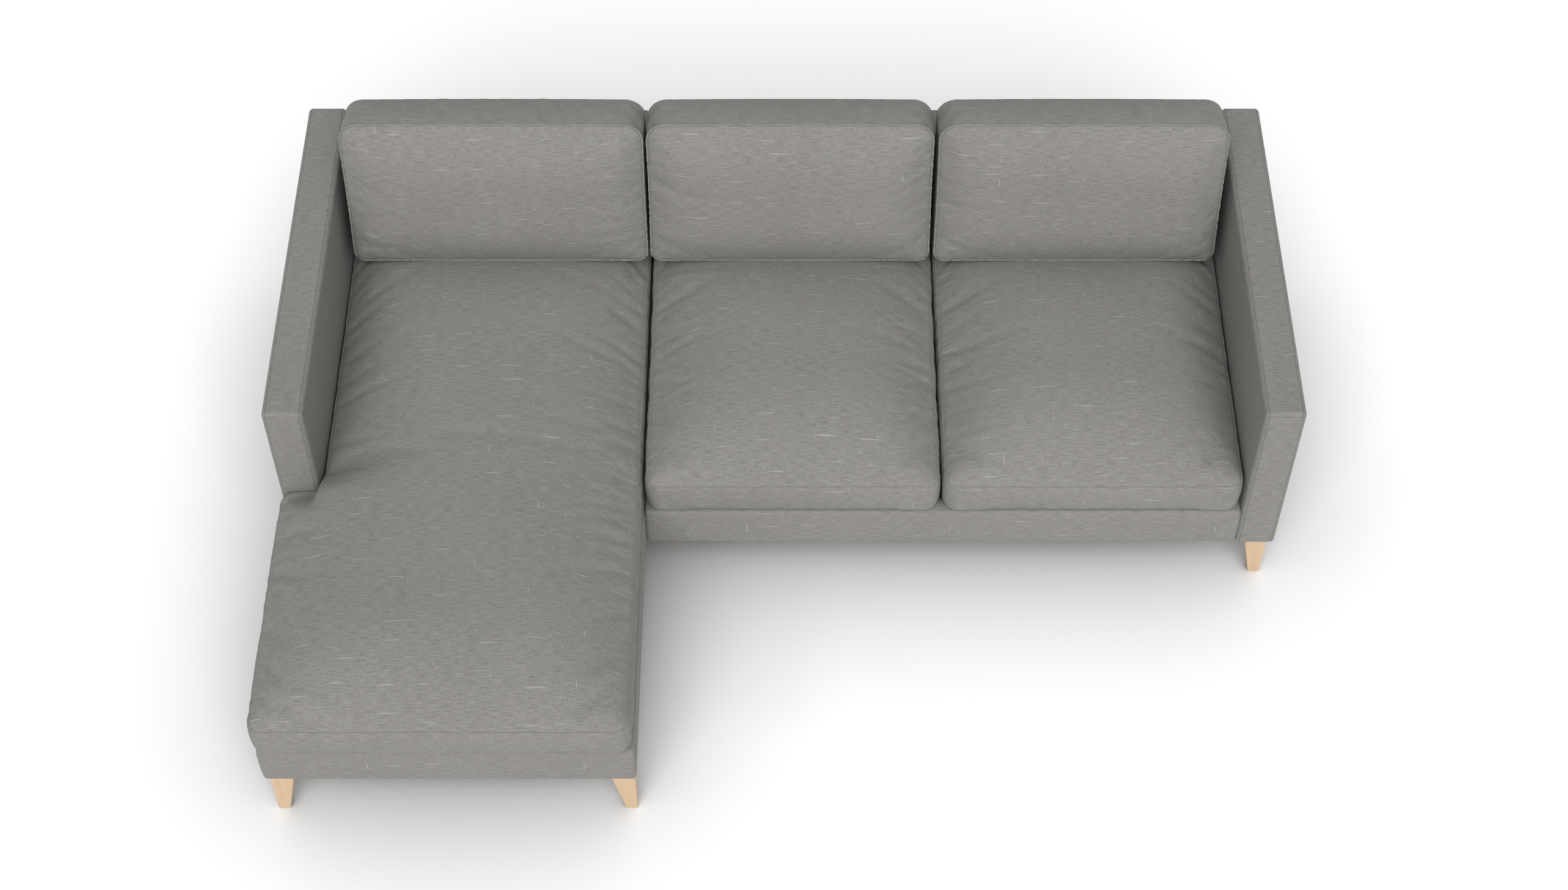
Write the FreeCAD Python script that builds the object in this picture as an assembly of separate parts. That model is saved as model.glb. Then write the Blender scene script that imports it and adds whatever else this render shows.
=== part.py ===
import FreeCAD, Part
import math
import os
from FreeCAD import Vector

# Sectional sofa with a chaise at its left end, seen from the front: X to the right, Y to
# the back, Z up. The floor is Z 0 and the origin is under the middle of the footprint.
# All sizes are in millimetres.

# whole sofa
overall_width = 2270.0         # over both arms
overall_length = 1576.0        # front of the chaise pad to the back
leg_height = 130.0
base_height = 118.0            # upholstered base, from the leg tops to the seat deck
arm_height = 612.5             # floor to the top of the arms
arm_depth = 936.0
arm_thickness = 90.0
back_height = 607.5            # floor to the top of the back frames
back_thickness = 100.0
chaise_width = 815.0           # outer face of the left arm to the joint of the modules
module_gap = 2.0
pad_overhang = 13.6            # chaise pad beyond the front of its base
chaise_side_inset = 7.0        # chaise base in from the outer face of the left arm
rail_setback = 3.0             # loveseat base behind the fronts of the arms

# covers, with the wadding under the cloth
base_cover_wall = 4.0
base_corner_radius = 8.0
top_flange = 50.0              # turned over the rails, under the cushions
bottom_flange = 60.0           # turned under the rails
slab_cover_wall = 12.0         # arms and backs
slab_edge_radius = 10.0
dust_cover_thickness = 1.5
platform_thickness = 2.0

# timber
rail_thickness = 22.0
block_size = 70.0
slab_board = 3.0               # hardboard faces of the arm and back frames
slab_timber = 40.0             # height of rails and width of posts in arms and backs
arm_post_count = 5
back_post_count = 5

# webbing
strap_width = 60.0
strap_pitch = 130.0
strap_thickness = 1.5

# legs and what holds them
leg_top = 52.0
leg_foot = 26.0
leg_chamfer = 2.0
arm_leg_side_inset = 14.7      # leg in from the outer face of the arm
arm_leg_end_inset = 11.0       # leg in from the front and the back of the arm
chaise_leg_left_inset = 13.0
chaise_leg_right_inset = 2.5
chaise_leg_front_inset = 4.0
support_leg_top = 48.0
support_leg_foot = 34.0
support_leg_setback = 95.0     # front support block behind the front of the loveseat base
stud_radius = 4.0
stud_bore_radius = 4.2
stud_inset = 34.0              # stud from the two upright faces of its leg
stud_in_leg = 35.0
stud_in_timber = 38.0
stud_bore_spare = 2.0

# tongues and channels that link the modules, under their rails
link_reach = 48.0              # plate over the underside of each module
link_width = 40.0
link_thickness = 3.0
link_clearance = 0.3
link_leg_gap = 45.0            # between a link and the support leg that it stands beside

# seat cushions
seat_boxing = 95.2
seat_crown = 98.0
seat_crown_reach = 290.0       # from the seam to the flat middle of the crown
seat_rear_reach = 430.0        # the same at the rear, where the back cushion rests
crown_power = 2.4
rear_power = 0.8
seat_crown_cuts = (0.06, 0.19, 0.68, 1.0)    # shares of its reach at which the crown is cut
seat_rear_gap = 2.0            # cushion to back frame
seat_corner_radius = 36.0
seat_top_radius = 26.0         # corners of the flat middle of the crown
seat_underside_inset = 12.0    # edge of the underside, in from the widest line of the boxing
seat_swell_height = 42.0       # widest line of the boxing, over the underside
seat_seam_inset = 5.0
seat_draw_in = 5.0             # sides pulled in between the corners, at the seam
seat_front_draw_in = 2.0
underside_draw_share = 0.6     # share of it that the underside has
swell_draw_share = 0.8         # and the widest line
seat_split = 357.0             # joint of the two seat cushions, on X
seat_joint_gap = 3.0
pad_side_gap = 4.0             # cushion to arm
pad_notch_radius = 8.0         # inner corner of the chaise pad, round the front of the arm
pad_inner_gap = 2.0            # cushion in from the joint of the modules
core_inset = 36.0
core_rise = 8.0                # foam above the deck-side face of the cover
core_thickness = 88.0
core_clearance = 0.3
rest_clearance = 0.3

# back cushions
back_lean = 10.0               # degrees that the front face leans back
back_seam_from_rear = 212.0    # front bottom seam to the face of the back frame, on Y
back_cushion_height = 390.0    # along the lean, from the bottom seam to the top seam
back_rear_drop = 12.0          # rear seam lower than the front seam at the top
back_top_rise = 4.0            # top seam above its corners in the middle
back_wall_gap = 1.0            # rear seam to the back frame, at the bottom corners
back_top_depth = 120.0         # boxing at the top, front seam to rear seam
back_crown = 48.0
back_crown_reach = 135.0
back_crown_cuts = (1.0, 0.5, 0.18, 0.05)
back_top_corner = 46.0         # radii of the seams at the corners
back_bottom_corner = 24.0
back_side_draw_in = 2.0
back_arm_gap = 27.0            # side seams to the arms
back_joint_gap = 8.0           # chaise cushion to middle cushion
back_split = 349.0             # joint of the middle and right cushions, on X
back_split_gap = 12.0
back_core_inset = 40.0
back_core_front = 8.0

# how far a cutting shape reaches past what it cuts
cut_past = 1.0

# places that follow from the sizes
x_left = -overall_width / 2
x_right = overall_width / 2
y_back = overall_length / 2
y_pad_front = -overall_length / 2
y_arm_front = y_back - arm_depth
y_back_face = y_back - back_thickness
x_left_arm = x_left + arm_thickness
x_right_arm = x_right - arm_thickness
x_chaise_end = x_left + chaise_width
x_seat_start = x_chaise_end + module_gap
x_chaise_side = x_left + chaise_side_inset
y_chaise_front = y_pad_front + pad_overhang
y_rail_front = y_arm_front + rail_setback
z_base = leg_height
z_deck = leg_height + base_height
z_rail = z_base + base_cover_wall
z_rail_top = z_deck - base_cover_wall - 2 * strap_thickness
z_cushion = z_deck + rest_clearance
z_seam = z_cushion + seat_boxing
y_cushion_rear = y_back_face - seat_rear_gap

parts = {}


def box(x0, x1, y0, y1, z0, z1):
    return Part.makeBox(x1 - x0, y1 - y0, z1 - z0, Vector(x0, y0, z0))


def level(z):
    """Maps outline points to the horizontal plane at height z."""
    return lambda u, v: Vector(u, v, z)


def outline(corners, radii, sags, place):
    """The edges of a closed outline with right-angled, rounded corners. Each side is drawn in
    by its sag, or swells out where the sag is negative."""
    count = len(corners)
    spots = []
    for i, corner in enumerate(corners):
        here = Vector(corner[0], corner[1], 0)
        before = Vector(*corners[i - 1], 0)
        after = Vector(*corners[(i + 1) % count], 0)
        back = (before - here).normalize()
        on = (after - here).normalize()
        radius = radii[i]
        centre = here + (back + on) * radius
        middle = centre + (here - centre).normalize() * radius
        spots.append((here + back * radius, middle, here + on * radius))
    edges = []
    for i, (start, middle, end) in enumerate(spots):
        edges.append(Part.Arc(place(start.x, start.y), place(middle.x, middle.y), place(end.x, end.y)))
        far = spots[(i + 1) % count][0]
        sag = sags[i]
        if sag:
            along = far - end
            inward = Vector(-along.y, along.x, 0).normalize()
            half = (end + far) * 0.5 + inward * sag
            edges.append(Part.Arc(place(end.x, end.y), place(half.x, half.y), place(far.x, far.y)))
        else:
            edges.append(Part.LineSegment(place(end.x, end.y), place(far.x, far.y)))
    return [edge.toShape() for edge in edges]


def skin(rings):
    """A solid through rings of as many edges each, flat at both ends. The band between two
    straight edges is a plane, and any other is ruled from edge to edge."""
    faces = [Part.Face(Part.Wire(rings[0])), Part.Face(Part.Wire(rings[-1]))]
    for lower, upper in zip(rings, rings[1:]):
        for low, high in zip(lower, upper):
            if isinstance(low.Curve, Part.Line) and isinstance(high.Curve, Part.Line):
                ends = [low.firstVertex(True).Point, low.lastVertex(True).Point,
                        high.lastVertex(True).Point, high.firstVertex(True).Point]
                faces.append(Part.Face(Part.makePolygon(ends + ends[:1])))
            else:
                faces.append(Part.makeRuledSurface(low, high))
    shell = Part.makeCompound(faces)
    shell.sewShape()
    solid = Part.Solid(shell.Shells[0])
    if solid.Volume < 0:
        solid.reverse()
    return solid


def prism(corners, radius, z0, z1):
    """An upright solid on an outline of straight sides; a radius of 0 keeps the corners sharp."""
    if radius:
        count = len(corners)
        wire = Part.Wire(outline(corners, [radius] * count, [0] * count, level(z0)))
    else:
        points = [Vector(u, v, z0) for u, v in corners]
        wire = Part.makePolygon(points + points[:1])
    return Part.Face(wire).extrude(Vector(0, 0, z1 - z0))


def slab(x0, x1, y0, y1, z1):
    """An arm or a back standing on the level of the leg tops, its upper and upright edges rounded."""
    solid = box(x0, x1, y0, y1, z_base, z1)
    edges = [edge for edge in solid.Edges if edge.BoundBox.ZMax > z_base + slab_edge_radius]
    return solid.makeFillet(slab_edge_radius, edges)


def rectangle(x0, x1, y0, y1, side=0.0, front=0.0, rear=0.0):
    return [
        (x0 + side, y0 + front),
        (x1 - side, y0 + front),
        (x1 - side, y1 - rear),
        (x0 + side, y1 - rear),
    ]


def chaise_corners(x_wide, x_inner, y_front, y_step, x_narrow, y_rear, side=0.0, front=0.0, rear=0.0):
    """The T outline of the chaise: wide in front of the arm, narrow beside it."""
    return [
        (x_wide + side, y_front + front),
        (x_inner - side, y_front + front),
        (x_inner - side, y_rear - rear),
        (x_narrow + side, y_rear - rear),
        (x_narrow + side, y_step - side),
        (x_wide + side, y_step - side),
    ]


def chaise_base_corners(inset):
    return chaise_corners(
        x_chaise_side, x_chaise_end, y_chaise_front, y_arm_front, x_left_arm, y_back_face,
        inset, inset, inset)


def seat_base_corners(inset):
    return rectangle(x_seat_start, x_right_arm, y_rail_front, y_back_face, inset, inset, inset)


def upright_bore(x, y, z0, z1):
    return Part.makeCylinder(stud_bore_radius, z1 - z0, Vector(x, y, z0))


# Legs: where each stands, and the stud that holds it

tapered_legs = {
    "chaise_front_left_leg": (x_chaise_side + chaise_leg_left_inset,
                              y_chaise_front + chaise_leg_front_inset, 1, 1),
    "chaise_front_right_leg": (x_chaise_end - chaise_leg_right_inset,
                               y_chaise_front + chaise_leg_front_inset, -1, 1),
    "chaise_rear_leg": (x_left + arm_leg_side_inset, y_back - arm_leg_end_inset, 1, -1),
    "seat_front_leg": (x_right - arm_leg_side_inset, y_arm_front + arm_leg_end_inset, -1, 1),
    "seat_rear_leg": (x_right - arm_leg_side_inset, y_back - arm_leg_end_inset, -1, -1),
}

# inner faces of the rails, which the corner blocks stand against
x_chaise_in = x_chaise_side + base_cover_wall + rail_thickness
x_narrow_in = x_left_arm + base_cover_wall + rail_thickness
x_chaise_out = x_chaise_end - base_cover_wall - rail_thickness
x_seat_in = x_seat_start + base_cover_wall + rail_thickness
x_seat_out = x_right_arm - base_cover_wall - rail_thickness
y_chaise_in = y_chaise_front + base_cover_wall + rail_thickness
y_seat_in = y_rail_front + base_cover_wall + rail_thickness
y_rear_in = y_back_face - base_cover_wall - rail_thickness
y_cross = y_arm_front - base_cover_wall - rail_thickness
y_support = y_rail_front + support_leg_setback + block_size / 2
y_rear_support = y_rear_in - block_size / 2


def square_ring(x0, x1, y0, y1, z):
    """The edges of a square with its corners chamfered, at height z."""
    c = leg_chamfer
    spots = [(x0 + c, y0), (x1 - c, y0), (x1, y0 + c), (x1, y1 - c),
             (x1 - c, y1), (x0 + c, y1), (x0, y1 - c), (x0, y0 + c)]
    points = [Vector(x, y, z) for x, y in spots]
    return [Part.makeLine(a, b) for a, b in zip(points, points[1:] + points[:1])]


def stud_place(x_face, y_face, x_way, y_way):
    return x_face + x_way * stud_inset, y_face + y_way * stud_inset


def tapered_leg(x_face, y_face, x_way, y_way):
    """A square leg, upright on the two faces at x_face and y_face, tapering on the other two."""
    rings = []
    for width, z in ((leg_foot, 0), (leg_top, leg_height)):
        xs = sorted((x_face, x_face + x_way * width))
        ys = sorted((y_face, y_face + y_way * width))
        rings.append(square_ring(xs[0], xs[1], ys[0], ys[1], z))
    x, y = stud_place(x_face, y_face, x_way, y_way)
    bore = upright_bore(x, y, leg_height - stud_in_leg - stud_bore_spare, leg_height + cut_past)
    return skin(rings).cut(bore)


def support_leg(x, y):
    """A plain square leg that tapers on all four faces, centred on x and y."""
    rings = []
    for half, z in ((support_leg_foot / 2, 0), (support_leg_top / 2, leg_height)):
        rings.append(square_ring(x - half, x + half, y - half, y + half, z))
    return skin(rings)


def stud_wall(x, y):
    """Thickness of the cover between a leg and its timber: an arm's, or the base's."""
    under_arm = abs(x) > x_right_arm and y > y_arm_front
    return slab_cover_wall if under_arm else base_cover_wall


def make_legs():
    studs = []
    for name, place in tapered_legs.items():
        parts[name] = [tapered_leg(*place)]
        x, y = stud_place(*place)
        length = stud_in_leg + stud_wall(x, y) + stud_in_timber
        studs.append(Part.makeCylinder(stud_radius, length, Vector(x, y, leg_height - stud_in_leg)))
    parts["leg_studs"] = studs
    half = block_size / 2
    parts["support_legs"] = [
        support_leg(x_seat_in + half, y_support),
        support_leg(x_seat_in + half, y_rear_support),
        support_leg(x_chaise_out - half, y_rear_support)]


def stud_holes_in(solid):
    """Cuts the bores of the studs that pass through this piece."""
    limits = solid.BoundBox
    for place in tapered_legs.values():
        x, y = stud_place(*place)
        if limits.XMin < x < limits.XMax and limits.YMin < y < limits.YMax:
            top = leg_height + stud_wall(x, y) + stud_in_timber + stud_bore_spare
            solid = solid.cut(upright_bore(x, y, z_base - cut_past, top))
    return solid


# Link between the modules: a tongue under the chaise that slides into a channel under the loveseat

def make_link():
    tongues, channels = [], []
    step = link_thickness + link_clearance
    reach = x_seat_start + link_reach
    from_leg = (support_leg_top + link_width) / 2 + link_leg_gap
    for y in (y_support + from_leg, y_rear_support - from_leg):
        y0, y1 = y - link_width / 2, y + link_width / 2
        plate = box(x_chaise_end - link_reach, x_chaise_end, y0, y1, z_base - link_thickness, z_base)
        drop = box(x_chaise_end - link_thickness, x_chaise_end, y0, y1,
                   z_base - step - link_thickness, z_base - link_thickness)
        tongue = box(x_chaise_end, reach - 2 * step, y0, y1,
                     z_base - step - link_thickness, z_base - step)
        tongues.append(plate.fuse([drop, tongue]).removeSplitter())
        top = box(x_seat_start, reach, y0, y1, z_base - link_thickness, z_base)
        end = box(reach - link_thickness, reach, y0, y1,
                  z_base - 2 * step - link_thickness, z_base - link_thickness)
        lip = box(x_seat_start, reach, y0, y1,
                  z_base - 2 * step - link_thickness, z_base - 2 * step)
        channels.append(top.fuse([end, lip]).removeSplitter())
    parts["link_tongues"] = tongues
    parts["link_channels"] = channels


# Bases

def rail(x0, x1, y0, y1):
    return box(x0, x1, y0, y1, z_rail, z_rail_top)


def make_chaise_rails():
    x_wide_out = x_chaise_in - rail_thickness
    x_narrow_out = x_narrow_in - rail_thickness
    x_end_out = x_chaise_out + rail_thickness
    y_front_out = y_chaise_in - rail_thickness
    y_cross_rear = y_cross + rail_thickness
    y_rear_out = y_rear_in + rail_thickness
    parts["chaise_front_rail"] = [rail(x_wide_out, x_end_out, y_front_out, y_chaise_in)]
    parts["chaise_side_rail"] = [rail(x_wide_out, x_chaise_in, y_chaise_in, y_cross)]
    parts["chaise_cross_rail"] = [rail(x_wide_out, x_chaise_out, y_cross, y_cross_rear)]
    parts["chaise_arm_rail"] = [rail(x_narrow_out, x_narrow_in, y_cross_rear, y_rear_in)]
    parts["chaise_rear_rail"] = [rail(x_narrow_out, x_chaise_out, y_rear_in, y_rear_out)]
    parts["chaise_inner_rail"] = [rail(x_chaise_out, x_end_out, y_chaise_in, y_rear_out)]


def make_seat_rails():
    x_start_out = x_seat_in - rail_thickness
    x_end_out = x_seat_out + rail_thickness
    y_front_out = y_seat_in - rail_thickness
    y_rear_out = y_rear_in + rail_thickness
    parts["seat_front_rail"] = [rail(x_start_out, x_end_out, y_front_out, y_seat_in)]
    parts["seat_left_rail"] = [rail(x_start_out, x_seat_in, y_seat_in, y_rear_in)]
    parts["seat_arm_rail"] = [rail(x_seat_out, x_end_out, y_seat_in, y_rear_in)]
    parts["seat_rear_rail"] = [rail(x_start_out, x_end_out, y_rear_in, y_rear_out)]


def make_corner_blocks():
    """Blocks in the corners of the rails, and one over each support leg."""
    size = block_size
    corners = [
        (x_chaise_in, y_chaise_in), (x_chaise_out - size, y_chaise_in),
        (x_narrow_in, y_rear_in - size), (x_chaise_out - size, y_rear_in - size),
        (x_seat_in, y_support - size / 2), (x_seat_out - size, y_seat_in),
        (x_seat_in, y_rear_in - size), (x_seat_out - size, y_rear_in - size),
    ]
    parts["corner_blocks"] = [
        stud_holes_in(rail(x, x + size, y, y + size)) for x, y in corners]


def bay_straps(x0, x1, y0, y1):
    """Straps over one bay of a base: front to back below, side to side on top of them."""

    def rows(low, high):
        inside = high - low - 2 * rail_thickness
        count = int(inside // strap_pitch)
        first = (low + high - (count - 1) * strap_pitch) / 2
        return [first + i * strap_pitch for i in range(count)]

    half = strap_width / 2
    z = z_rail_top
    lower = [box(x - half, x + half, y0, y1, z, z + strap_thickness) for x in rows(x0, x1)]
    z += strap_thickness
    upper = [box(x0, x1, y - half, y + half, z, z + strap_thickness) for y in rows(y0, y1)]
    return lower + upper


def make_webbing():
    y_half = y_cross + rail_thickness / 2
    y_rear_out = y_rear_in + rail_thickness
    front_bay = bay_straps(x_chaise_in - rail_thickness, x_chaise_out + rail_thickness,
                           y_chaise_in - rail_thickness, y_half - strap_thickness)
    rear_bay = bay_straps(x_narrow_in - rail_thickness, x_chaise_out + rail_thickness,
                          y_half + strap_thickness, y_rear_out)
    parts["chaise_webbing"] = front_bay + rear_bay
    parts["seat_webbing"] = bay_straps(x_seat_in - rail_thickness, x_seat_out + rail_thickness,
                                       y_seat_in - rail_thickness, y_rear_out)


def base_cover(corners_at):
    """A cloth casing round the rails: walls, a flange over them and a flange under them."""
    shell = prism(corners_at(0), base_corner_radius, z_base, z_deck)
    shell = shell.cut(prism(corners_at(base_cover_wall), 0, z_rail, z_deck - base_cover_wall))
    z_flange = z_deck - base_cover_wall
    shell = shell.cut(prism(corners_at(top_flange), 0, z_flange - cut_past, z_deck + cut_past))
    shell = shell.cut(prism(corners_at(bottom_flange), 0, z_base - cut_past, z_rail + cut_past))
    return stud_holes_in(shell)


def make_base_cloths(name, corners_at):
    parts[name + "_base_cover"] = [base_cover(corners_at)]
    z = z_deck - base_cover_wall
    parts[name + "_platform_cloth"] = [prism(corners_at(top_flange), 0, z, z + platform_thickness)]
    parts[name + "_dust_cover"] = [
        prism(corners_at(bottom_flange), 0, z_rail - dust_cover_thickness, z_rail)]


# Arms and backs: timbers between two boards, in a padded cover

def timber_frame(along_y, a0, a1, b0, b1, z0, z1, posts):
    """Bottom, middle and top rails along a wall, with posts between them.
    a runs along the wall and b through it."""

    def bar(a_low, a_high, z_low, z_high):
        if along_y:
            return box(b0, b1, a_low, a_high, z_low, z_high)
        return box(a_low, a_high, b0, b1, z_low, z_high)

    size = slab_timber
    z_middle = (z0 + z1 - size) / 2
    bars = [bar(a0, a1, z0, z0 + size), bar(a0, a1, z1 - size, z1)]
    pitch = (a1 - a0 - size) / (posts - 1)
    for i in range(posts):
        a = a0 + i * pitch
        bars.append(bar(a, a + size, z0 + size, z1 - size))
        if i < posts - 1:
            bars.append(bar(a + size, a + pitch, z_middle, z_middle + size))
    return bars


def make_arm(side, x0, x1):
    cover = slab(x0, x1, y_arm_front, y_back, arm_height)
    wall = slab_cover_wall
    x_in0, x_in1 = x0 + wall, x1 - wall
    y_in0, y_in1 = y_arm_front + wall, y_back - wall
    z_in0, z_in1 = z_base + wall, arm_height - wall
    cover = cover.cut(box(x_in0, x_in1, y_in0, y_in1, z_in0, z_in1))
    parts[side + "_arm_cover"] = [stud_holes_in(cover)]
    parts[side + "_arm_boards"] = [
        box(x_in0, x_in0 + slab_board, y_in0, y_in1, z_in0, z_in1),
        box(x_in1 - slab_board, x_in1, y_in0, y_in1, z_in0, z_in1)]
    bars = timber_frame(True, y_in0, y_in1, x_in0 + slab_board, x_in1 - slab_board,
                        z_in0, z_in1, arm_post_count)
    parts[side + "_arm_frame"] = [stud_holes_in(bar) for bar in bars]


def make_back(side, x0, x1):
    wall = slab_cover_wall
    cover = slab(x0, x1, y_back_face, y_back, back_height)
    x_in0, x_in1 = x0 + wall, x1 - wall
    y_in0, y_in1 = y_back_face + wall, y_back - wall
    z_in0, z_in1 = z_base + wall, back_height - wall
    parts[side + "_back_cover"] = [cover.cut(box(x_in0, x_in1, y_in0, y_in1, z_in0, z_in1))]
    parts[side + "_back_boards"] = [
        box(x_in0, x_in1, y_in0, y_in0 + slab_board, z_in0, z_in1),
        box(x_in0, x_in1, y_in1 - slab_board, y_in1, z_in0, z_in1)]
    parts[side + "_back_frame"] = timber_frame(
        False, x_in0, x_in1, y_in0 + slab_board, y_in1 - slab_board, z_in0, z_in1, back_post_count)


# Seat cushions

def crown_height(share):
    """Height of the crown above the seam, where share runs from 0 at the seam to 1 at its middle."""
    return seat_crown * (1 - (1 - share) ** crown_power)


def rear_inset(share):
    return seat_rear_reach * share ** rear_power


# one more cut lies where the back cushion's seam rests on the crown
rest_share = ((back_seam_from_rear - seat_rear_gap) / seat_rear_reach) ** (1 / rear_power)
crown_shares = sorted(seat_crown_cuts + (rest_share,))
z_back_rest = z_seam + crown_height(rest_share) + rest_clearance


def cushion_rings(corners_at):
    """The outlines of a boxed, crowned cushion, from its underside to the top of its crown.
    Each entry is the height, the insets of side, front and rear, and the pull of the sides."""
    rows = [
        (z_cushion, seat_underside_inset, seat_underside_inset, seat_underside_inset,
         underside_draw_share),
        (z_cushion + seat_swell_height, 0.0, 0.0, 0.0, swell_draw_share),
        (z_seam, seat_seam_inset, seat_seam_inset, seat_seam_inset, 1.0),
    ]
    for share in crown_shares:
        inset = seat_seam_inset + (seat_crown_reach - seat_seam_inset) * share
        rows.append((z_seam + crown_height(share), inset, inset, rear_inset(share), 0.0))
    wires = []
    for z, side, front, rear, pull in rows:
        corners = corners_at(side, front, rear)
        radius = seat_corner_radius - (seat_corner_radius - seat_top_radius) * side / seat_crown_reach
        side_sag = seat_draw_in * pull
        front_sag = seat_front_draw_in * pull
        sags = [front_sag, side_sag, 0] + [side_sag] * (len(corners) - 3)
        radii = [radius] * len(corners)
        if len(corners) > 4:
            radii[4] = pad_notch_radius + (radius - pad_notch_radius) * side / seat_crown_reach
        wires.append(outline(corners, radii, sags, level(z)))
    return wires


def seat_cushion(name, corners_at):
    shell = skin(cushion_rings(corners_at))

    def core(grow):
        inset = core_inset - grow
        low = z_cushion + core_rise - grow
        return prism(corners_at(inset, inset, inset), 0, low, low + core_thickness + 2 * grow)

    parts[name + "_cover"] = [shell.cut(core(core_clearance))]
    parts[name + "_foam"] = [core(0)]


def make_seat_cushions():
    seat_cushion("chaise_pad", lambda side, front, rear: chaise_corners(
        x_left, x_chaise_end - pad_inner_gap, y_pad_front, y_arm_front - pad_side_gap / 2,
        x_left_arm + pad_side_gap, y_cushion_rear, side, front, rear))
    half = seat_joint_gap / 2
    spans = {
        "middle_seat": (x_seat_start + pad_inner_gap, seat_split - half),
        "right_seat": (seat_split + half, x_right_arm - pad_side_gap),
    }
    for name, (x0, x1) in spans.items():
        seat_cushion(name, lambda side, front, rear, x0=x0, x1=x1: rectangle(
            x0, x1, y_arm_front, y_cushion_rear, side, front, rear))


# Back cushions

lean = math.radians(back_lean)
y_back_seam = y_back_face - back_seam_from_rear
back_bottom_depth = (back_seam_from_rear - back_wall_gap) / math.cos(lean)
z_back_seam = z_back_rest


def leaning(h, t):
    """From height h along the lean and depth t behind the front seam, to Y and Z."""
    y = y_back_seam + t * math.cos(lean) + h * math.sin(lean)
    z = z_back_seam - t * math.sin(lean) + h * math.cos(lean)
    return y, z


def back_ring(x0, x1, inset, front_share, offset):
    """An outline between the front seam plane (front_share 1) and the rear seam plane (0),
    moved by offset square to the front."""
    high = back_cushion_height - back_rear_drop * (1 - front_share)

    def place(u, h):
        slope = back_bottom_depth + (back_top_depth - back_bottom_depth) * h / back_cushion_height
        y, z = leaning(h, slope * (1 - front_share) + offset)
        return Vector(u, y, z)

    radii = [back_bottom_corner, back_bottom_corner, back_top_corner, back_top_corner]
    sags = [0] * 4
    if not inset:
        sags = [0, back_side_draw_in, -back_top_rise, back_side_draw_in]
    return outline(rectangle(x0, x1, 0.0, high, inset, inset, inset), radii, sags, place)


def back_cushion(name, x0, x1):
    rings = []
    for share in back_crown_cuts:
        rise = back_crown * (1 - (1 - share) ** crown_power)
        rings.append(back_ring(x0, x1, back_crown_reach * share, 1.0, -rise))
    rings.append(back_ring(x0, x1, 0.0, 1.0, 0.0))
    rings.append(back_ring(x0, x1, 0.0, 0.0, 0.0))
    shell = skin(rings)

    def core(grow):
        inset = back_core_inset - grow
        low, high = inset, back_cushion_height - inset
        front = back_core_front - grow

        def rear_at(h):
            slope = (back_top_depth - back_bottom_depth) / back_cushion_height
            return back_bottom_depth + slope * h - back_core_inset / 2 + grow

        spots = [(low, front), (high, front), (high, rear_at(high)), (low, rear_at(low))]
        points = [Vector(x0 + inset, *leaning(h, t)) for h, t in spots]
        face = Part.Face(Part.makePolygon(points + points[:1]))
        return face.extrude(Vector(x1 - x0 - 2 * inset, 0, 0))

    parts[name + "_cover"] = [shell.cut(core(core_clearance))]
    parts[name + "_foam"] = [core(0)]


def make_back_cushions():
    middle = (x_chaise_end + x_seat_start) / 2
    back_cushion("left_back_cushion", x_left_arm + back_arm_gap, middle - back_joint_gap / 2)
    back_cushion("middle_back_cushion", middle + back_joint_gap / 2, back_split - back_split_gap / 2)
    back_cushion("right_back_cushion", back_split + back_split_gap / 2, x_right_arm - back_arm_gap)


make_legs()
make_link()
make_chaise_rails()
make_seat_rails()
make_corner_blocks()
make_webbing()
make_base_cloths("chaise", chaise_base_corners)
make_base_cloths("seat", seat_base_corners)
make_arm("left", x_left, x_left_arm)
make_arm("right", x_right_arm, x_right)
make_back("left", x_left_arm, x_chaise_end)
make_back("right", x_seat_start, x_right_arm)
make_seat_cushions()
make_back_cushions()

os.makedirs("parts", exist_ok=True)
for name, solids in parts.items():
    shape = solids[0] if len(solids) == 1 else Part.makeCompound(solids)
    if not shape.isValid():
        print("not valid:", name)
    shape.exportStep("parts/" + name + ".step")
print(len(parts), "nodes written")
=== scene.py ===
import math

import bpy
import numpy as np
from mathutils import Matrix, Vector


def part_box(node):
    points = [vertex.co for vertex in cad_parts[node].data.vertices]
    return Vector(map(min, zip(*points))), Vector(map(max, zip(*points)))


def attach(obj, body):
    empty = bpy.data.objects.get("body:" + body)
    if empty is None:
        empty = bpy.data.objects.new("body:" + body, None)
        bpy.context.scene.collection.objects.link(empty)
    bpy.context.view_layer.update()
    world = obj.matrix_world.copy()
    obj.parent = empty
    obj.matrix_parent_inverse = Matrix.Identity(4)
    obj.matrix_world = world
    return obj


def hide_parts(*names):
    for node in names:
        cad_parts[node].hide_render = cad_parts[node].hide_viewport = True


# A sectional sofa with a chaise at its left end, in a plain white studio.
# Everything is in metres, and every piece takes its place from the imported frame.
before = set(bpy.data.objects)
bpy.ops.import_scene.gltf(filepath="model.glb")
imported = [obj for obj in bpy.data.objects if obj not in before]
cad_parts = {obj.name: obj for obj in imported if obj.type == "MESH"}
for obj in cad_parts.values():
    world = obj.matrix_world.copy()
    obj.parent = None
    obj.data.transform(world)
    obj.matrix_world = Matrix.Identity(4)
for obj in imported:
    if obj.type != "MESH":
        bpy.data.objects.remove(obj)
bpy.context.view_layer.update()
mm = 0.001
clothSpread = 5.0   # each panel is cut from a place of its own within this many metres of cloth
farFromSeam = 1.0
onSeam = 0.01 * mm
weltSpans = 4       # points of a welt between two of the seam that it follows
draws = np.random.default_rng(21)   # every uneven fold and pucker comes from these draws


def boxOf(node):
    low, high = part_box(node)
    return np.array(low), np.array(high)


# Materials

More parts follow.
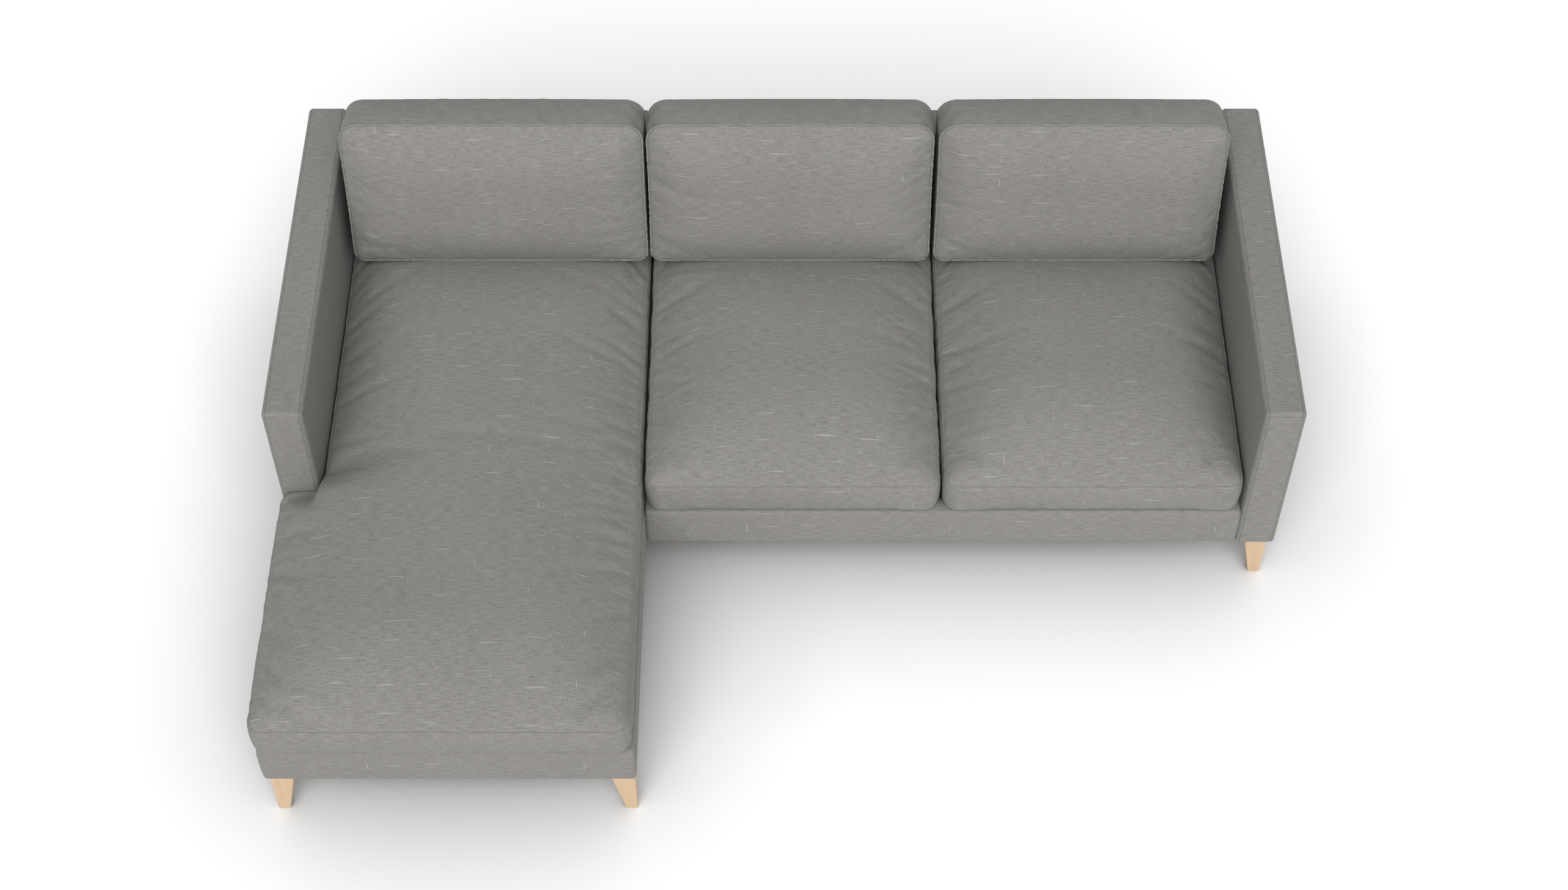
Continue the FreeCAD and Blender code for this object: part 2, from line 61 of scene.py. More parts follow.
def hexColour(code):
    # an sRGB hex colour turned linear, with full alpha
    shares = [int(code[i:i + 2], 16) / 255 for i in (1, 3, 5)]
    return [s / 12.92 if s <= 0.04045 else ((s + 0.055) / 1.055) ** 2.4 for s in shares] + [1.0]


def addNode(owner, kind, inputs=None, **settings):
    # adds a node to a material or a sky, sets its options, and sets or links its sockets
    node = owner.node_tree.nodes.new("ShaderNode" + kind)
    for key, value in settings.items():
        setattr(node, key, value)
    for key, value in (inputs or {}).items():
        socket = node.inputs[key]
        if isinstance(value, bpy.types.NodeSocket):
            owner.node_tree.links.new(value, socket)
        else:
            socket.default_value = value
    return node.outputs


def newMaterial(name, colour, **sockets):
    # a material with its colour linked and its plain numbers set on the shader
    material = bpy.data.materials.new(name)
    material.use_nodes = True
    shader = material.node_tree.nodes["Principled BSDF"]
    for key, value in sockets.items():
        shader.inputs[key.replace("_", " ")].default_value = value
    material.node_tree.links.new(colour(material), shader.inputs["Base Color"])
    return material


sofaCloth = {
    "light": "#888682",        # heathered yarn, its two tones
    "dark": "#6A6864",
    "slub": "#9D9B96",         # thick lighter places in the yarn
    # painted shade: the dark colour drawn along each seam's crease
    "seam": "#504E4A",
    "thread": 1.8 * mm,        # drawn wider than the real yarn, which is too fine to show
    "run": 26 * mm,            # length over which one yarn keeps its tone
    "weftShare": 1.3,          # the yarns across show more than the upright ones
    "warpShare": 0.7,
    "toneSpan": (0.62, 1.38),  # of both yarns together, from the dark tone to the light one
    "patch": 0.35,             # slow change of tone over a panel
    "patchScale": 3.5,
    "driftScale": 4.0,         # the yarns wander by this much, this often
    "drift": (3 * mm, 5 * mm, 0),
    "weftCell": (98 * mm, 52 * mm),      # a cell may hold one slub; then half the slub's own size
    "weftSlub": (27 * mm, 1.7 * mm),
    "weftFilled": 0.86,
    "warpCell": (120 * mm, 150 * mm),
    "warpSlub": (1.6 * mm, 13 * mm),
    "warpFilled": 0.85,
    "slubShrink": (1.9, 0.75),           # the shortest slub is this much shorter, the longest longer
    "slubCore": 0.35,                    # share of its size that is fully light
    "slubFaint": 0.35,                   # how light the faintest one is, and where the lightest would be
    "slubBright": 1.15,
    "slubHeight": 1.5,                   # beside the yarns' own
    "relief": 0.35 * mm,
    # width and strength of the painted shade along each seam
    "paintedSeamShadeWidth": 1.0 * mm,
    "seamShade": 0.75,
}


def slubMask(material, places, cell, slub, filled, look):
    # Voronoi cells of the given size hold one slub each, an ellipse round the cell's own point;
    # the cell's random colour says how long it is and whether it is there
    scaled = addNode(material, "VectorMath", {0: places, 1: (1 / cell[0], 1 / cell[1], 0)},
                     operation="MULTIPLY")
    points = addNode(material, "TexVoronoi", {"Vector": scaled[0], "Scale": 1.0}, voronoi_dimensions="2D")
    away = addNode(material, "VectorMath", {0: scaled[0], 1: points["Position"]}, operation="SUBTRACT")
    lots = addNode(material, "SeparateColor", {0: points["Color"]})
    size = addNode(material, "MapRange", {0: lots[0], 3: look["slubShrink"][0], 4: look["slubShrink"][1]})
    stretch = addNode(material, "VectorMath", {0: away[0], 1: (cell[0] / slub[0], cell[1] / slub[1], 0)},
                      operation="MULTIPLY")
    sized = addNode(material, "VectorMath", {0: stretch[0], "Scale": size[0]}, operation="SCALE")
    reach = addNode(material, "VectorMath", {0: sized[0]}, operation="LENGTH")
    shape = addNode(material, "MapRange", {0: reach["Value"], 1: look["slubCore"], 2: 1.0, 3: 1.0, 4: 0.0},
                    interpolation_type="SMOOTHSTEP")
    bright = addNode(material, "MapRange", {0: lots[1], 1: 1 - filled, 2: look["slubBright"],
                                            3: look["slubFaint"], 4: 1.0})
    shown = addNode(material, "Math", {0: lots[1], 1: 1 - filled}, operation="GREATER_THAN")
    faded = addNode(material, "Math", {0: bright[0], 1: shown[0]}, operation="MULTIPLY")
    return addNode(material, "Math", {0: shape[0], 1: faded[0]}, operation="MULTIPLY")[0]


def yarnTone(material, places, run, thread):
    # noise drawn out along one yarn
    scaled = addNode(material, "VectorMath", {0: places, 1: (1 / run, 1 / thread, 0)}, operation="MULTIPLY")
    return addNode(material, "TexNoise",
                   {"Vector": scaled[0], "Scale": 1.0, "Detail": 2.0, "Roughness": 0.6},
                   noise_dimensions="2D")[0]


def clothParts(material, look):
    # the tone, the yarns and the slubs of the woven cloth, from its own places
    places = addNode(material, "UVMap", uv_map="cloth")[0]
    drift = addNode(material, "TexNoise", {"Vector": places, "Scale": look["driftScale"], "Detail": 0.0})
    bent = addNode(material, "VectorMath", {0: drift["Color"], 1: look["drift"], 2: places},
                   operation="MULTIPLY_ADD")[0]
    weft = yarnTone(material, bent, look["run"], look["thread"])
    warp = yarnTone(material, bent, look["thread"], look["run"] / 2)
    strong = addNode(material, "Math", {0: weft, 1: look["weftShare"]}, operation="MULTIPLY")
    yarn = addNode(material, "Math", {0: warp, 1: look["warpShare"], 2: strong[0]}, operation="MULTIPLY_ADD")
    even = addNode(material, "MapRange", {0: yarn[0], 1: look["toneSpan"][0], 2: look["toneSpan"][1]})
    slow = addNode(material, "TexNoise", {"Vector": places, "Scale": look["patchScale"], "Detail": 3.0})
    tone = addNode(material, "Math", {0: slow[0], 1: look["patch"], 2: even[0]}, operation="MULTIPLY_ADD")
    across = slubMask(material, bent, look["weftCell"], look["weftSlub"], look["weftFilled"], look)
    upright = slubMask(material, bent, look["warpCell"], look["warpSlub"], look["warpFilled"], look)
    slub = addNode(material, "Math", {0: across, 1: upright}, operation="MAXIMUM")[0]
    return tone[0], yarn[0], slub


def clothColour(material, look, tone, slub):
    # two tones of yarn, lighter in the slubs, and darker along a seam: painted shade for the seam's crease
    ground = addNode(material, "Mix", {0: tone, 6: hexColour(look["dark"]), 7: hexColour(look["light"])},
                     data_type="RGBA")[2]
    slubbed = addNode(material, "Mix", {0: slub, 6: ground, 7: hexColour(look["slub"])}, data_type="RGBA")[2]
    distance = addNode(material, "Attribute", attribute_name="fromSeam")["Fac"]
    away = addNode(material, "Math", {0: distance}, operation="ABSOLUTE")
    # painted shade: a thin dark line drawn along each seam
    line = addNode(material, "MapRange",
                   {0: away[0], 1: 0.0, 2: look["paintedSeamShadeWidth"], 3: look["seamShade"], 4: 0.0},
                   interpolation_type="SMOOTHSTEP")
    return addNode(material, "Mix", {0: line[0], 6: slubbed, 7: hexColour(look["seam"])}, data_type="RGBA")[2]


def makeCloth(look):
    # upholstery canvas of grey-taupe slub yarn: matt, heathered, with thin lighter dashes along
    # the weft, which give it its linen look
    parts = {}

    def colour(material):
        parts["tone"], parts["yarn"], parts["slub"] = clothParts(material, look)
        return clothColour(material, look, parts["tone"], parts["slub"])

    material = newMaterial("slubWeaveCloth", colour, Roughness=0.92, Specular_IOR_Level=0.18,
                           Sheen_Weight=0.06, Sheen_Roughness=0.6)
    height = addNode(material, "Math", {0: parts["slub"], 1: look["slubHeight"], 2: parts["yarn"]},
                     operation="MULTIPLY_ADD")
    relief = addNode(material, "Bump", {"Strength": 0.7, "Distance": look["relief"], "Height": height[0]})
    shader = material.node_tree.nodes["Principled BSDF"]
    material.node_tree.links.new(relief[0], shader.inputs["Normal"])
    return material


def grainOf(material, light, dark, scale, stretch):
    # two tones of wood along stretched noise, with finer detail in the same noise
    place = addNode(material, "TexCoord")["Object"]
    drawn = addNode(material, "Mapping", {"Vector": place, "Scale": stretch})
    rings = addNode(material, "TexNoise",
                    {"Vector": drawn[0], "Scale": scale, "Detail": 4.0, "Distortion": 0.6})
    return addNode(material, "Mix", {0: rings[0], 6: hexColour(dark), 7: hexColour(light)},
                   data_type="RGBA")[2]


# beech: planed and lacquered, pale honey with fine upright grain and a low satin shine
legWood = newMaterial(
    "lacqueredBeech", lambda m: grainOf(m, "#CBB293", "#B99B79", 90, (1, 1, 0.06)),
    Roughness=0.42, Coat_Weight=0.15, Coat_Roughness=0.3)
# pine: sawn, unfinished, so matt with wide grain
timber = newMaterial(
    "sawnPine", lambda m: grainOf(m, "#D9BC8A", "#B8935E", 26, (0.15, 1, 1)), Roughness=0.75)
# hardboard: pressed brown fibre, nearly even in tone
fibreBoard = newMaterial(
    "hardboard", lambda m: grainOf(m, "#8A6A48", "#6E5236", 300, (1, 1, 1)), Roughness=0.8)
# elastic webbing: black polyester weave with a light stripe look from its ribs
strapWeave = newMaterial(
    "elasticWebbing", lambda m: grainOf(m, "#3A3A3C", "#1D1D1F", 700, (1, 1, 1)), Roughness=0.7)
# spun lining: thin black felted cloth under the seat and over the straps
spunLining = newMaterial(
    "spunLining", lambda m: grainOf(m, "#3C3C3B", "#262626", 450, (1, 1, 1)), Roughness=0.95)
# zinc-plated steel: grey metal, faintly mottled
platedSteel = newMaterial(
    "zincPlatedSteel", lambda m: grainOf(m, "#B9BCBE", "#989B9E", 60, (1, 1, 1)),
    Roughness=0.35, Metallic=1.0)
# foam: cut block, cream, with fine open cells
cushionFoam = newMaterial(
    "cutFoam", lambda m: grainOf(m, "#E8DFC4", "#D8CDA8", 500, (1, 1, 1)), Roughness=0.95)
slubWeave = makeCloth(sofaCloth)

nodeMaterials = {
    "leg_studs": platedSteel, "link_tongues": platedSteel, "link_channels": platedSteel,
    "support_legs": timber, "corner_blocks": timber,
}
for name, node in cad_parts.items():
    material = nodeMaterials.get(name, timber)
    if name.endswith("_leg"):
        material = legWood
    elif name.endswith("boards"):
        material = fibreBoard
    elif name.endswith("webbing"):
        material = strapWeave
    elif name.endswith("platform_cloth") or name.endswith("dust_cover"):
        material = spunLining
    elif name.endswith("foam"):
        material = cushionFoam
    for spot in node.material_slots:
        spot.material = material
print("materials made")


# Cloth-covered surfaces on grids

def patch(ids, places, keep=None, flip=False):
    # the four corners of every cell of a grid of vertex numbers, with their places on the cloth
    here, on = slice(None, -1), slice(1, None)
    corners = [(here, here), (on, here), (on, on), (here, on)]
    if flip:
        corners.reverse()
    quads = np.stack([ids[corner] for corner in corners], -1)
    spots = np.stack([places[corner] for corner in corners], -2)
    if keep is None:
        keep = np.ones(quads.shape[:2], bool)
    return quads[keep], spots[keep]


def makePiece(name, points, patches, fromSeam, body, nodes=()):
    # a mesh from patches of quads, with its cloth places and its distance to the nearest seam
    quads = np.concatenate([quad for quad, spots in patches])
    spots = np.concatenate([spots for quad, spots in patches])
    mesh = bpy.data.meshes.new(name)
    mesh.from_pydata(points.tolist(), [], quads.tolist())
    mesh.uv_layers.new(name="cloth").data.foreach_set("uv", spots.astype(np.float32).ravel())
    distances = mesh.attributes.new("fromSeam", "FLOAT", "POINT")
    distances.data.foreach_set("value", fromSeam.astype(np.float32))
    mesh.polygons.foreach_set("use_smooth", np.ones(len(quads), bool))
    mesh.materials.append(slubWeave)
    piece = bpy.data.objects.new(name, mesh)
    bpy.context.scene.collection.objects.link(piece)
    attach(piece, body)
    if nodes:
        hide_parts(*nodes)
    return piece


def pointsOf(mesh, key="co"):
    values = np.empty(len(mesh.vertices) * 3, np.float32)
    mesh.vertices.foreach_get(key, values)
    return values.reshape(-1, 3).astype(float)


def setPoints(mesh, points):
    mesh.vertices.foreach_set("co", points.astype(np.float32).ravel())
    mesh.update()


def gapsOf(mesh):
    gap = np.empty(len(mesh.vertices), np.float32)
    mesh.attributes["fromSeam"].data.foreach_get("value", gap)
    return gap.astype(float)


def easeOut(x):
    # from 0 at 0 to 1 at 1, level at both
    x = np.clip(x, 0, 1)
    return x * x * (3 - 2 * x)


def waver(x, longest, shortest, count=9):
    # an uneven line: sines of random phase between two wavelengths, added and levelled
    waves = np.geomspace(longest, shortest, count)
    phases = draws.uniform(0, 2 * math.pi, count)
    return np.sin(2 * math.pi * x[..., None] / waves + phases).sum(-1) / math.sqrt(count)


# Padded slabs: the arms and the backs

slabCloth = {
    "radius": 11 * mm,         # wadding rounds every edge
    "step": 14 * mm,
    "puff": 2.0 * mm,          # how far a panel stands proud in its middle
    "seamInset": 8 * mm,       # seams of the end panels, in from the edges
    "seamHalf": 2.2 * mm,
    "seamDepth": 1.6 * mm,
    "merge": 0.05 * mm,        # points this close are one
}


def slabLines(low, high, look):
    # grid lines from low to high: close together round the edges and at the seams
    radius, inset = look["radius"], look["seamInset"]
    turn = radius - radius * np.tan(np.radians([45, 33, 22, 11, 0]))
    seam = inset + look["seamHalf"] * np.array([-1, 0, 1])
    edge = np.unique(np.round(np.concatenate([turn, seam]), 6))
    count = max(int((high - low - 2 * edge[-1]) / look["step"]), 2)
    middle = np.linspace(low + edge[-1], high - edge[-1], count + 1)[1:-1]
    return np.concatenate([low + edge, middle, (high - edge)[::-1]])


def slabPiece(name, node, endAxis, look):
    # A rounded box: a grid point on the plain box is drawn to the inner box, which is smaller by
    # the radius, and set off from it by the radius. Each panel then swells in its middle.
    low, high = boxOf(node)
    lines = [slabLines(low[i], high[i], look) for i in range(3)]
    points, patches, seams = [], [], []
    count = 0
    for axis in range(3):
        first, second = (axis + 1) % 3, (axis + 2) % 3
        across, up = np.meshgrid(lines[first], lines[second], indexing="ij")
        for side, level in enumerate((low[axis], high[axis])):
            flat = np.empty(across.shape + (3,))
            flat[..., axis] = level
            flat[..., first] = across
            flat[..., second] = up
            inner = np.clip(flat, low + look["radius"], high - look["radius"])
            off = flat - inner
            spot = inner + look["radius"] * off / np.linalg.norm(off, axis=-1, keepdims=True)
            u = 2 * (across - low[first]) / (high[first] - low[first]) - 1
            v = 2 * (up - low[second]) / (high[second] - low[second]) - 1
            swell = look["puff"] * (1 - u ** 4) * (1 - v ** 4)
            gap = np.full(across.shape, farFromSeam)
            if axis == endAxis and side == 0 or axis == 2 and side == 1:
                wall = endAxis if axis == 2 else 2
                for other, values in ((first, across), (second, up)):
                    if axis == endAxis or other != wall:
                        for edge in (low[other], high[other]):
                            if other == 2 and edge == low[2]:
                                continue
                            gap = np.minimum(gap, np.abs(np.abs(values - edge) - look["seamInset"]))
            swell = swell - look["seamDepth"] * np.clip(1 - gap / look["seamHalf"], 0, 1)
            way = 1 if side else -1
            spot[..., axis] += way * swell
            ids = count + np.arange(across.size).reshape(across.shape)
            count += across.size
            horizontal, vertical = (up, across) if second == 0 or first == 2 else (across, up)
            places = np.stack([horizontal, vertical], -1) + draws.uniform(0, clothSpread, 2)
            patches.append(patch(ids, places, flip=not side))
            points.append(spot.reshape(-1, 3))
            seams.append(gap.ravel())
    points = np.concatenate(points)
    # the panels' shared edges become one row of points
    _, firsts, numbers = np.unique(np.round(points / look["merge"]).astype(np.int64), axis=0,
                                   return_index=True, return_inverse=True)
    patches = [(numbers.reshape(-1)[quads], spots) for quads, spots in patches]
    return makePiece(name, points[firsts], patches, np.concatenate(seams)[firsts], "frame", [node])


slabPiece("leftArmCover", "left_arm_cover", 1, slabCloth)
slabPiece("rightArmCover", "right_arm_cover", 1, slabCloth)
slabPiece("leftBackCover", "left_back_cover", 0, slabCloth)
slabPiece("rightBackCover", "right_back_cover", 0, slabCloth)
print("arms and backs made")


# Outlines with rounded corners

def roundCorners(a, b, corners):
    # Near each corner the square grid is drawn onto a quarter circle: with p and q the shares of
    # the radius from the circle's middle, p becomes p * sqrt(1 - q * q / 2), and q the same way.
    a, b = a.copy(), b.copy()
    for cornerA, cornerB, wayA, wayB, radius in corners:
        p = 1 - (a - cornerA) * wayA / radius
        q = 1 - (b - cornerB) * wayB / radius
        inside = (p > 0) & (q > 0) & (p <= 1 + 1e-6) & (q <= 1 + 1e-6)
        newP = p * np.sqrt(np.maximum(1 - q * q / 2, 0))
        newQ = q * np.sqrt(np.maximum(1 - p * p / 2, 0))
        a = np.where(inside, cornerA + wayA * radius * (1 - newP), a)
        b = np.where(inside, cornerB + wayB * radius * (1 - newQ), b)
    return a, b


def walk(stops):
    # the grid places along straight lines from stop to stop, round to the first again
    path = []
    for (i0, j0), (i1, j1) in zip(stops, stops[1:] + stops[:1]):
        count = max(abs(i1 - i0), abs(j1 - j0))
        steps = np.arange(count)[:, None] / count
        path.append(np.round(np.array([i0, j0]) + steps * np.array([i1 - i0, j1 - j0])).astype(int))
    return np.concatenate(path)


def outwardOf(loop):
    # the outward direction at each point of a loop that runs anticlockwise
    along = np.roll(loop, -1, 0) - np.roll(loop, 1, 0)
    along /= np.linalg.norm(along, axis=1, keepdims=True)
    return np.stack([along[:, 1], -along[:, 0]], 1)


# Base covers: a profile of cloth carried round the outline of each base

baseCloth = {
    "cornerRadius": 10 * mm,
    "edgeRadius": 9 * mm,
    "topReach": 48 * mm,       # turned over the rails, under the cushions
    "bottomReach": 58 * mm,
    "puff": 1.6 * mm,
    "step": 14 * mm,
    "wall": 3 * mm,
    "turnSteps": 6,            # points on each rounded edge and corner
    "wallSteps": 10,
}


def baseProfile(height, look):
    # inset and height of the profile: in under the rail, round its lower edge, up, and over it
    radius = look["edgeRadius"]
    turn = np.radians(np.linspace(0, 90, look["turnSteps"]))
    lower = np.stack([radius * (1 - np.sin(turn)), radius * (1 - np.cos(turn))], 1)
    share = np.linspace(0, 1, look["wallSteps"])[1:-1]
    puff = -look["puff"] * (1 - (2 * share - 1) ** 4)
    wall = np.stack([puff, radius + share * (height - 2 * radius)], 1)
    upper = np.stack([lower[::-1, 0], height - lower[::-1, 1]], 1)
    under = np.array([[look["bottomReach"], 0.0], [look["bottomReach"] / 2, 0.0]])
    over = np.array([[look["topReach"] / 2, height], [look["topReach"], height]])
    return np.concatenate([under, lower, wall, upper, over])


def baseOutline(corners, look):
    # straight runs joined by arcs; a corner that turns inward gets its arc the other way
    corners = np.array(corners)
    radius = look["cornerRadius"]
    turn = np.radians(np.linspace(0, 90, look["turnSteps"]))[:, None]
    spots = []
    for i, corner in enumerate(corners):
        back = corners[i - 1] - corner
        on = corners[(i + 1) % len(corners)] - corner
        back, on = back / np.linalg.norm(back), on / np.linalg.norm(on)
        centre = corner + (back + on) * radius
        spots.append(centre - on * radius * np.cos(turn) - back * radius * np.sin(turn))
        start = spots[-1][-1]
        end = corners[(i + 1) % len(corners)] - on * radius
        count = max(int(np.linalg.norm(end - start) / look["step"]), 2)
        spots.append(start + (end - start) * (np.arange(1, count)[:, None] / count))
    return np.concatenate(spots)


def basePiece(name, node, corners, low, high, look):
    loop = baseOutline(corners, look)
    profile = baseProfile(high - low, look)
    inset, height = profile[:, 0], profile[:, 1]
    # up to the corner radius every point moves in square to the outline, and further in it is mitred
    shallow = loop[None] - outwardOf(loop)[None] * inset[:, None, None]
    deep = mitred(corners, loop, inset, look["cornerRadius"])
    rows = np.where((inset > look["cornerRadius"])[:, None, None], deep, shallow)
    levels = np.broadcast_to(low + height[:, None, None], rows.shape[:2] + (1,))
    points = np.concatenate([rows, levels], 2)
    ids = np.arange(points[..., 0].size).reshape(points.shape[:2])
    around = np.concatenate([ids, ids[:, :1]], 1)
    run = np.concatenate([[0], np.cumsum(np.linalg.norm(np.roll(loop, -1, 0) - loop, axis=1))])
    rise = np.concatenate([[0], np.cumsum(np.linalg.norm(np.diff(profile, axis=0), axis=1))])
    places = np.stack(np.broadcast_arrays(run[None], rise[:, None]), -1)
    piece = makePiece(name, points.reshape(-1, 3), [patch(around, places, flip=True)],
                      np.full(points[..., 0].size, farFromSeam), "frame", [node])
    shell = piece.modifiers.new("wall", "SOLIDIFY")
    shell.thickness = look["wall"]
    shell.offset = -1
    return piece


def mitred(corners, loop, inset, radius):
    # The outline set in by each inset: a point keeps its place along its side, but not past the
    # mitre at an outer corner, and the points of a corner's arc all move to its mitre.
    corners = np.array(corners)
    ends = np.roll(corners, -1, 0)
    lengths = np.linalg.norm(ends - corners, axis=1)
    along = (ends - corners) / lengths[:, None]
    inward = np.stack([-along[:, 1], along[:, 0]], 1)
    before = np.roll(along, 1, 0)
    outer = (before[:, 0] * along[:, 1] - before[:, 1] * along[:, 0] > 0).astype(float)
    off = loop[:, None] - corners[None]
    place = (off * along[None]).sum(2)
    apart = np.abs((off * inward[None]).sum(2)) + np.maximum(-place, 0) + np.maximum(place - lengths, 0)
    near = apart < radius + 1e-6
    atCorner = near & np.roll(near, 1, 1)
    side = np.where(atCorner.any(1), atCorner.argmax(1), near.argmax(1))
    depth = inset[:, None]
    kept = np.clip(place[np.arange(len(loop)), side][None], depth * outer[side],
                   lengths[side] - depth * np.roll(outer, -1)[side])
    straight = corners[side] + along[side] * kept[..., None] + inward[side] * depth[..., None]
    mitre = corners[side] + (inward[side] + np.roll(inward, 1, 0)[side]) * depth[..., None]
    return np.where(atCorner.any(1)[None, :, None], mitre, straight)


def makeBases():
    chaiseLow, chaiseHigh = boxOf("chaise_base_cover")
    seatLow, seatHigh = boxOf("seat_base_cover")
    armLow, armHigh = boxOf("left_arm_cover")
    chaise = [(chaiseLow[0], chaiseLow[1]), (chaiseHigh[0], chaiseLow[1]), (chaiseHigh[0], chaiseHigh[1]),
              (armHigh[0], chaiseHigh[1]), (armHigh[0], armLow[1]), (chaiseLow[0], armLow[1])]
    seat = [(seatLow[0], seatLow[1]), (seatHigh[0], seatLow[1]), (seatHigh[0], seatHigh[1]),
            (seatLow[0], seatHigh[1])]
    basePiece("chaiseBaseCover", "chaise_base_cover", chaise, chaiseLow[2], chaiseHigh[2], baseCloth)
    basePiece("seatBaseCover", "seat_base_cover", seat, seatLow[2], seatHigh[2], baseCloth)


makeBases()
print("base covers made")


# Cushions: a crowned panel, a boxing that swells out, and a plain panel at the back

def panelCrown(distances, height, power):
    # The rise over a panel: along each way it is 1 - c ** power, where c falls from 1 at the seam
    # to 0 at the reach, and the two ways are joined so that the lower one leads, smooth at the hips.
    slopes = []
    for near, far in distances:
        c = np.clip(np.maximum(near, far), 0, 1)
        slopes.append(np.maximum(1 - c ** power, 1e-4))
    joined = (slopes[0] ** -2 + slopes[1] ** -2 - 1) ** -0.5
    return height * np.where(joined < 2e-4, 0, joined)


def cushionPiece(name, shape, body, nodes):
    # shape gives the grid lines, the corner stops of the loop, the two surfaces and the way to
    # the world; the boxing runs from the front loop to the rear loop in rows
    aLines, bLines = shape["lines"]
    a, b = np.meshgrid(aLines, bLines, indexing="ij")
    roundA, roundB = shape["outline"](a, b)
    front, rear = shape["front"](a, b), shape["rear"](a, b)
    used = shape["used"](a, b)
    stops = walk(shape["stops"])
    loop = np.stack([roundA[stops[:, 0], stops[:, 1]], roundB[stops[:, 0], stops[:, 1]]], 1)
    loopFront = front[stops[:, 0], stops[:, 1]]
    loopRear = rear[stops[:, 0], stops[:, 1]]
    outward = outwardOf(loop)

    frontIds = np.full(a.shape, -1)
    frontIds[used] = np.arange(used.sum())
    rearIds = frontIds + used.sum()
    shares, swells = np.array(shape["boxing"]).T
    rows = loop[None] + outward[None] * (swells[1:-1] - swells[0])[:, None, None]
    depths = loopFront[None] * (1 - shares[1:-1, None]) + loopRear[None] * shares[1:-1, None]
    rowIds = 2 * used.sum() + np.arange(rows[..., 0].size).reshape(rows.shape[:2])
    ringFront = frontIds[stops[:, 0], stops[:, 1]]
    ringRear = rearIds[stops[:, 0], stops[:, 1]]

    flatFront = np.stack([roundA[used], roundB[used], front[used]], 1)
    flatRear = np.stack([roundA[used], roundB[used], rear[used]], 1)
    points = np.concatenate([flatFront, flatRear,
                             np.concatenate([rows, depths[..., None]], 2).reshape(-1, 3)])
    points[ringRear, :2] = loop + outward * (swells[-1] - swells[0])

    full = used[:-1, :-1] & used[1:, :-1] & used[1:, 1:] & used[:-1, 1:]
    places = np.stack([roundA, roundB], -1) + draws.uniform(0, clothSpread, 2)
    around = np.concatenate([ringFront[None], rowIds, ringRear[None]])
    around = np.concatenate([around, around[:, :1]], 1)
    run = np.concatenate([[0], np.cumsum(np.linalg.norm(np.roll(loop, -1, 0) - loop, axis=1))])
    depth = float(np.abs(loopFront - loopRear).mean())
    band = np.stack(np.broadcast_arrays(run[None], -shares[:, None] * depth), -1)
    band = band + draws.uniform(0, clothSpread, 2)
    patches = [patch(frontIds, places, full), patch(rearIds, places, full, flip=True), patch(around, band)]

    gap = np.empty(len(points))
    toLoop = shape["fromEdge"](a, b)
    gap[:used.sum()] = toLoop[used]
    gap[used.sum():2 * used.sum()] = -depth - toLoop[used]
    gap[2 * used.sum():] = np.broadcast_to(-shares[1:-1, None] * depth, rowIds.shape).ravel()
    piece = makePiece(name, shape["place"](points), patches, gap, body, nodes)
    return piece, ringFront, np.concatenate([ringFront, ringRear])


def evened(mesh, values, held, rounds):
    # each value is averaged with its neighbours' mean, over and over; held points stay at nothing
    ends = np.empty(len(mesh.edges) * 2, np.int32)
    mesh.edges.foreach_get("vertices", ends)
    one, other = ends[::2], ends[1::2]
    count = len(mesh.vertices)
    met = np.bincount(ends, minlength=count)
    for step in range(rounds):
        total = [np.bincount(one, values[other, axis], count) + np.bincount(other, values[one, axis], count)
                 for axis in range(3)]
        values = (values + np.stack(total, 1) / met[:, None]) / 2
        values[held] = 0
    return values


canvas = {
    "quality": 5,
    "mass": 0.3,
    "stiffness": 18,
    "shear": 8,
    "foldsInside": 0.2,        # what stays of the folds in the middle of a panel
    "foldLean": 0.35,
    "foldWidths": (6 * mm, 13 * mm),
}


def swell(piece, look, held):
    # Air pressure fills the cloth, which is slack between the seams that hold it, so it gathers along
    # them. The broad swelling is mostly taken off again, which keeps the cushion's size and leaves its
    # folds. These fade from the seams inward, and no point moves further than the cap.
    mesh = piece.data
    start = pointsOf(mesh)
    cloth = piece.modifiers.new("swell", "CLOTH")
    settings = cloth.settings
    settings.quality = canvas["quality"]
    settings.mass = canvas["mass"]
    settings.tension_stiffness = canvas["stiffness"]
    settings.compression_stiffness = canvas["stiffness"]
    settings.shear_stiffness = canvas["shear"]
    settings.bending_stiffness = look["bending"]
    settings.use_pressure = True
    settings.uniform_pressure_force = look["pressure"]
    settings.effector_weights.gravity = 0
    settings.shrink_min = look["slack"]
    piece.vertex_groups.new(name="held").add(held.tolist(), 1.0, "REPLACE")
    settings.vertex_group_mass = "held"
    cloth.point_cache.frame_end = look["frames"]
    for step in range(1, look["frames"] + 1):
        bpy.context.scene.frame_set(step)
    graph = bpy.context.evaluated_depsgraph_get()
    moved = pointsOf(piece.evaluated_get(graph).data)
    piece.modifiers.remove(cloth)
    piece.vertex_groups.clear()
    bpy.context.scene.frame_set(1)
    shift = moved - start
    broad = evened(mesh, shift, held, look["evenRounds"])
    print(piece.name, "swells by", round(float(np.linalg.norm(shift, axis=1).max()) / mm, 1),
          "mm at most, broadly", round(float(np.linalg.norm(broad, axis=1).max()) / mm, 1))
    shift -= (1 - look["broadShare"]) * broad
    nearSeam = np.exp(-(np.maximum(gapsOf(mesh), 0) / look["foldReach"]) ** 2)
    shift *= (canvas["foldsInside"] + (1 - canvas["foldsInside"]) * nearSeam)[:, None]
    length = np.linalg.norm(shift, axis=1, keepdims=True)
    shift *= np.minimum(1, look["cap"] / np.maximum(length, 1e-9))
    setPoints(mesh, start + shift)


